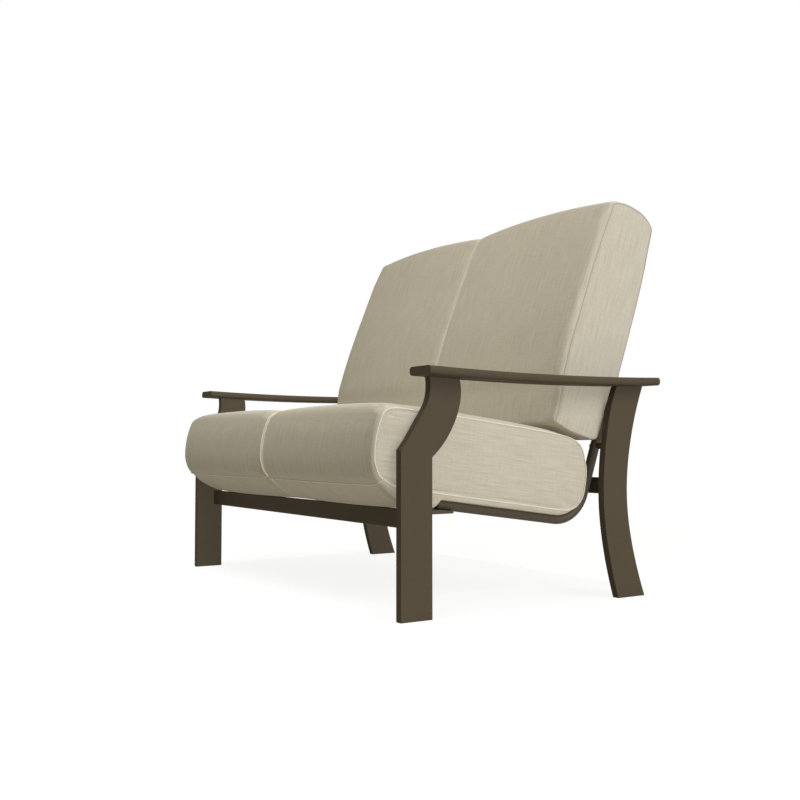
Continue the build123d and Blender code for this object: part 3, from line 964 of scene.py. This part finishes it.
    def panel_grid(self) -> np.ndarray:
        """The places of an end panel's grid, blended from the four sides of the seam loop.

        Returns:
            An array of rows and columns of points.
        """
        loop = np.vstack([self.edge, self.edge[:1]])
        a, b, c, d = (corner * self.cushion.steps for corner in self.cushion.corners)
        left, top = loop[a:b + 1], loop[b:c + 1]
        right, bottom = loop[c:d + 1][::-1], loop[d:][::-1]
        v = np.linspace(0, 1, len(left))[:, None, None]
        u = np.linspace(0, 1, len(top))[None, :, None]
        sides = ((1 - u) * left[:, None] + u * right[:, None]
                 + (1 - v) * bottom[None] + v * top[None])
        corners = ((1 - u) * (1 - v) * left[0] + (1 - u) * v * left[-1]
                   + u * (1 - v) * right[0] + u * v * right[-1])
        return sides - corners

    def close_end(self, mesh: bmesh.types.BMesh, cloth: bmesh.types.BMLayerItem, row: list,
                  x: float, facing: int, swell: float) -> None:
        """Fills an end panel with a grid that swells a little between its seams.

        Args:
            mesh: the mesh being built.
            cloth: its UV layer.
            row: the vertices of the seam loop.
            x: the panel's place across the object.
            facing: the sign of the way the panel faces.
            swell: how far its middle stands proud.
        """
        cushion = self.cushion
        grid = self.panel_grid()
        slubs = np.array(cushion.side_slubs_along) / np.linalg.norm(cushion.side_slubs_along)
        across = np.array([slubs[1], -slubs[0]])
        a, b, c, d = (corner * cushion.steps for corner in cushion.corners)
        tall, wide = grid.shape[:2]
        placed = {(r, 0): row[a + r] for r in range(tall)}
        placed |= {(tall - 1, k): row[b + k] for k in range(wide)}
        placed |= {(tall - 1 - r, wide - 1): row[c + r] for r in range(tall)}
        placed |= {(0, wide - 1 - k): row[(d + k) % len(row)] for k in range(wide)}
        for r in range(1, tall - 1):
            for k in range(1, wide - 1):
                y, z = grid[r, k]
                inside = float(np.min(np.linalg.norm(self.edge - grid[r, k], axis=1)))
                share = min(1.0, inside / cushion.swell_reach)
                stand = (swell * (1 - (1 - share) ** SWELL_POWER)
                         - cushion.groove * math.exp(-((inside / GROOVE_WIDTH) ** 2)))
                spot = (x + facing * stand * MM, self.place.depth(y), z * MM)
                placed[r, k] = mesh.verts.new(spot)
        for r in range(tall - 1):
            for k in range(wide - 1):
                spots = ((r, k), (r, k + 1), (r + 1, k + 1), (r + 1, k))
                face = mesh.faces.new([placed[spot] for spot in spots])
                for loop, spot in zip(face.loops, spots):
                    along, aside = float(grid[spot] @ slubs), float(grid[spot] @ across)
                    loop[cloth].uv = (aside * MM, along * MM)

    def seam_lines(self, piece: bpy.types.Object) -> dict[str, list[Vector]]:
        """The lines of the cover's seams: both end loops, and the cross seam where there is one.

        Args:
            piece: the cushion, as the stuffing has left it.

        Returns:
            The lines by name.
        """
        cushion = self.cushion
        lines = {}
        for name, x, other, inset in (
                ("inner_seam", self.inner, self.outer, cushion.cord_inset[0]),
                ("outer_seam", self.outer, self.inner, cushion.cord_inset[1])):
            x += math.copysign(inset * MM, other - x)
            proud = self.edge + outward(self.seam) * cushion.cord_rise
            if inset > cushion.rim:
                proud = self.section(inset, outer=False)
                proud += outward(proud) * cushion.cord_radius / 2
            lines[name] = [Vector((x, self.place.depth(y), z * MM)) for y, z in proud]
        if self.cross:
            laid = (piece.data.vertices[index] for index in self.cross)
            lines["front_seam"] = [spot.co + spot.normal * FRONT_CORD_LIFT * MM for spot in laid]
        return lines


@dataclass(frozen=True)
class Stuffing:
    """Pushes a cover out between its seams with Blender's Cloth.

    Attributes:
        pressure: the stuffing's pressure.
        frames: how long it works.
        cap: the movement in millimetres that no vertex goes beyond.
        quality: simulation steps to a frame.
        stiffness: how much the cloth withstands stretch.
        bending: how much it withstands folding.
    """

    pressure: float = 4.0
    frames: int = 20
    cap: float = 2.5
    quality: int = 4
    stiffness: float = 60.0
    bending: float = 4.0

    def settle(self, piece: bpy.types.Object, group: str) -> np.ndarray:
        """Runs the simulation.

        Args:
            piece: the cover.
            group: name of the vertex group that stays where it is.

        Returns:
            The vertices' places at its end.
        """
        cloth = piece.modifiers.new("cover", "CLOTH")
        cloth.settings.use_pressure = True
        cloth.settings.uniform_pressure_force = self.pressure
        cloth.settings.effector_weights.gravity = 0
        cloth.settings.vertex_group_mass = group
        cloth.settings.quality = self.quality
        cloth.settings.tension_stiffness = self.stiffness
        cloth.settings.compression_stiffness = self.stiffness
        cloth.settings.bending_stiffness = self.bending
        cloth.collision_settings.use_collision = False
        cloth.point_cache.frame_end = self.frames
        for number in range(1, self.frames + 1):
            bpy.context.scene.frame_set(number)
        posed = piece.evaluated_get(bpy.context.evaluated_depsgraph_get()).to_mesh()
        places = np.array([vertex.co[:] for vertex in posed.vertices])
        piece.modifiers.remove(cloth)
        return places

    def fill(self, piece: bpy.types.Object, held: list[int]) -> None:
        """Simulates the cover under the stuffing's pressure and keeps the result in its mesh.

        Args:
            piece: the cover.
            held: the vertices that stay where they are: seams, and what rests on something.
        """
        seams = piece.vertex_groups.new(name="held")
        seams.add(held, 1.0, "REPLACE")
        before = np.array([vertex.co[:] for vertex in piece.data.vertices])
        move = self.settle(piece, seams.name) - before
        piece.vertex_groups.remove(seams)
        bpy.context.scene.frame_set(1)
        length = np.linalg.norm(move, axis=1)
        share = self.cap * MM / (self.cap * MM + length)
        for vertex, place in zip(piece.data.vertices, before + move * share[:, None]):
            vertex.co = place
        log.info("%s: the stuffing moves it %.1f mm at most, softly capped",
                 piece.name, length.max() / MM)


def add_cord(name: str, points: list[Vector], radius: float, closed: bool) -> bpy.types.Object:
    """A round cord along a seam: piping on the seats, and on the back cushions a thin dark cord
    that paints the shade of the seam crease.

    Args:
        name: the piece's name.
        points: the seam line.
        radius: the cord's radius in metres.
        closed: whether the line is a loop.

    Returns:
        The cord as a mesh object.
    """
    curve = bpy.data.curves.new(name, "CURVE")
    curve.dimensions = "3D"
    curve.bevel_depth = radius
    curve.bevel_resolution = 3
    spline = curve.splines.new("POLY")
    spline.points.add(len(points) - 1)
    for target, point in zip(spline.points, points):
        target.co = (*point, 1)
    spline.use_cyclic_u = closed
    curved = link_object(name, curve)
    depsgraph = bpy.context.evaluated_depsgraph_get()
    data = bpy.data.meshes.new_from_object(curved.evaluated_get(depsgraph))
    bpy.data.objects.remove(curved)
    made = link_object(name, data)
    uv = data.uv_layers.new(name=CLOTH_MAP)
    for loop in data.loops:
        place = data.vertices[loop.vertex_index].co
        uv.data[loop.index].uv = (place.y + place.x, place.z)
    shade_smooth(data)
    return made


def subdivide(piece: bpy.types.Object) -> None:
    """Subdivides a piece smoothly, once.

    Args:
        piece: the piece.
    """
    for other in bpy.context.selected_objects:
        other.select_set(False)
    bpy.context.view_layer.objects.active = piece
    piece.select_set(True)
    modifier = piece.modifiers.new("smooth", "SUBSURF")
    modifier.levels = 1
    bpy.ops.object.modifier_apply(modifier=modifier.name)
    piece.select_set(False)


SEAT_SEAM: list[Point] = [
    (566, 393), (539, 407), (499, 416.5), (401, 430.5), (307, 442), (217, 453), (110, 464.6),
    (60, 470), (20, 474), (-4, 473), (-17.5, 468), (-27, 455), (-38.5, 424), (-45, 391),
    (-46.4, 358), (-42, 340), (-33, 322), (-17.5, 310), (6, 298), (60, 287.5), (110, 281.5),
    (135, 277.5), (150, 275.3), (200, 268.5), (300, 255), (400, 241.5), (480, 230), (522, 226.5),
    (548, 232.5), (565, 245), (576.7, 261), (582, 280), (586.6, 303), (588.5, 328), (584, 352),
    (577.5, 375)]
SEAT_FULL: list[Point] = [
    (569, 404), (541, 418), (499, 434), (401, 452), (307, 465), (217, 476), (110, 487),
    (60, 490), (20, 491), (-8, 488), (-25, 480), (-37, 466), (-50, 429), (-57, 392),
    (-59, 356), (-56, 334), (-48, 312), (-30, 296), (0, 272), (42, 248.5), (60, 242.7),
    (120, 242.7), (145, 271), (185, 264), (300, 248.2), (400, 234.5), (480, 223.5), (525, 219),
    (552, 226), (571, 240), (582, 258), (588, 280), (592, 303), (594, 328), (590, 354),
    (582, 379)]
SEAT_ROLL = [0.6] * 2 + [0.55] * 7 + [0.65] * 2 + [0.8] * 6 + [0.9] * 14 + [0.7] * 5
SEAT_REACH = ([60.0] * 9 + [45.0] * 2 + [34.0] * 6 + [30.0, 20.0] + [12.0] * 4 + [42.0] * 8
              + [50.0] * 5)
SEAT_SAG = {22: 15.0, 23: 17.0, 24: 16.0, 25: 16.0, 26: 14.0, 27: 5.0}

BACK_SEAM: list[Point] = [
    (485, 451), (494, 481), (506, 538), (514.5, 577.5), (530.5, 630), (554.5, 694), (586, 775),
    (620, 864.5), (659.5, 955), (687, 1014), (696, 1031), (718, 1035), (752.5, 1032),
    (800.6, 1016.4), (826, 998), (839, 978), (836, 960), (822, 911), (808.5, 861),
    (779.6, 771.8), (748, 683), (712, 585), (688, 520), (674, 509), (660, 500), (647.5, 462),
    (636, 429), (627, 408), (612, 404.5), (577, 412), (537, 423.5), (499, 440.5)]
BACK_FULL: list[Point] = [
    (477, 449), (483, 481), (495, 538), (498, 577.5), (513, 630), (533, 694), (563, 775),
    (601, 864.5), (639, 959), (667, 1024), (679, 1046), (710, 1056), (752, 1053),
    (806, 1037), (835, 1015), (848, 992), (845, 965), (824, 911), (806.5, 861),
    (775, 771.8), (743.5, 683), (708.5, 585), (685.5, 520), (681, 506), (677, 495), (664, 458),
    (650, 425), (636, 407), (612, 403), (577, 411), (537, 423), (497, 439.5)]
BACK_ROLL = [0.7] * 9 + [0.5] + [0.3] * 6 + [0.5] * 16
BACK_REACH = [24.0] * 9 + [26.0] * 7 + [30.0] * 16


def cushions(side: Side) -> list[Cushion]:
    """The cushions of one half of the object.

    Args:
        side: the half.

    Returns:
        Its seat cushion and its back cushion.
    """
    seat = Cushion(
        name=f"seat_cover_{side.word}", node=f"seat_cushion_{side.word}", body=f"seat_{side.word}",
        seam=SEAT_SEAM, full=SEAT_FULL, roll=SEAT_ROLL, reach=SEAT_REACH, sag=SEAT_SAG,
        corners=(0, 10, 18, 28), rests=(18, 31), side_slubs_along=(1, RAIL_SLOPE),
        rim=4.0, side_swell=4.5, groove=3.0, softness=0.2, cross_seam=16.6,
        cord_rise=3.6, cord_inset=(5.0, 1.0), cord_radius=1.8)
    back = Cushion(
        name=f"back_cover_{side.word}", node=f"back_cushion_{side.word}", body=f"back_{side.word}",
        seam=BACK_SEAM, full=BACK_FULL, roll=BACK_ROLL, reach=BACK_REACH, sag={},
        corners=(0, 10, 16, 26), rests=(15, 32), side_slubs_along=(0.34, 1),
        rim=3.0, side_swell=4.0, groove=2.6, softness=0.0, cross_seam=None,
        # The backs' thin cords are painted shade in the seam creases.
        cord_rise=0.6, cord_inset=(0.2, 0.2), cord_radius=0.8)
    return [seat, back]


def add_cushion(cushion: Cushion, side: Side, place: Place, cloth: bpy.types.Material,
                cord_material: bpy.types.Material) -> None:
    """Builds a cushion with the cords of its seams and hands it to its body.

    Args:
        cushion: what to build.
        side: the half of the object that it lies on.
        place: turns depths into places of the frame.
        cloth: its material.
        cord_material: its cords' material: piping cloth on the seats, and painted seam shade on the
            backs.
    """
    low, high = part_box(cushion.node)
    outer = max(abs(low[0]), abs(high[0]))
    inner = side.value * CUSHION_GAP / 2 * MM
    builder = CushionBuilder(cushion, place, inner, side.value * outer)
    piece, held = builder.build()
    Stuffing().fill(piece, held)
    lines = builder.seam_lines(piece)
    subdivide(piece)
    piece.data.materials.append(cloth)
    for name, line in lines.items():
        in_front = name == "front_seam"
        radius = cushion.cord_radius * (FRONT_CORD_SHARE if in_front else 1.0)
        cord = add_cord(f"{cushion.name}_{name}", line, radius * MM, closed=not in_front)
        cord.data.materials.append(cord_material)
        cord.parent = piece
    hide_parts(cushion.node)
    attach(piece, cushion.body)
    log.info("%s: %d faces", cushion.name, len(piece.data.polygons))


# The frame's finishes, the floor and the whole scene


def finish_frame() -> None:
    """Gives each CAD node that stays in view its procedural finish."""
    materials = {slot: finish.build() for slot, finish in FINISHES.items()}
    for entry in frame["record"]["subparts"]:
        finish = materials.get(entry["material_slot"])
        if finish is None:
            continue
        node = frame["nodes"][entry["node"]]
        node.data.materials.clear()
        node.data.materials.append(finish)


def add_floor() -> None:
    """Lays the pale floor under the feet."""
    half = FLOOR_SIZE / 2
    corners = [(-half, -half, 0), (half, -half, 0), (half, half, 0), (-half, half, 0)]
    data = bpy.data.meshes.new("floor")
    data.from_pydata(corners, [], [(0, 1, 2, 3)])
    data.materials.append(floor_material())
    floor = link_object("floor", data)


def main() -> None:
    """Builds the whole scene."""
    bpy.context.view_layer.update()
    place = Place.from_frame()
    bpy.context.scene.view_settings.view_transform = "Standard"
    add_camera(place, ViewPoint())
    build_world()
    for light in LIGHTS:
        light.build()
    add_floor()
    finish_frame()
    cloth, cord_material, seam_shade = (weave.build() for weave in (CANVAS, PIPING, SEAM_SHADE))
    for side in Side:
        seat, back = cushions(side)
        add_cushion(seat, side, place, cloth, cord_material)
        # The back cushions' seam cords get the painted seam shade.
        add_cushion(back, side, place, cloth, seam_shade)


if __name__ == "__main__":
    main()
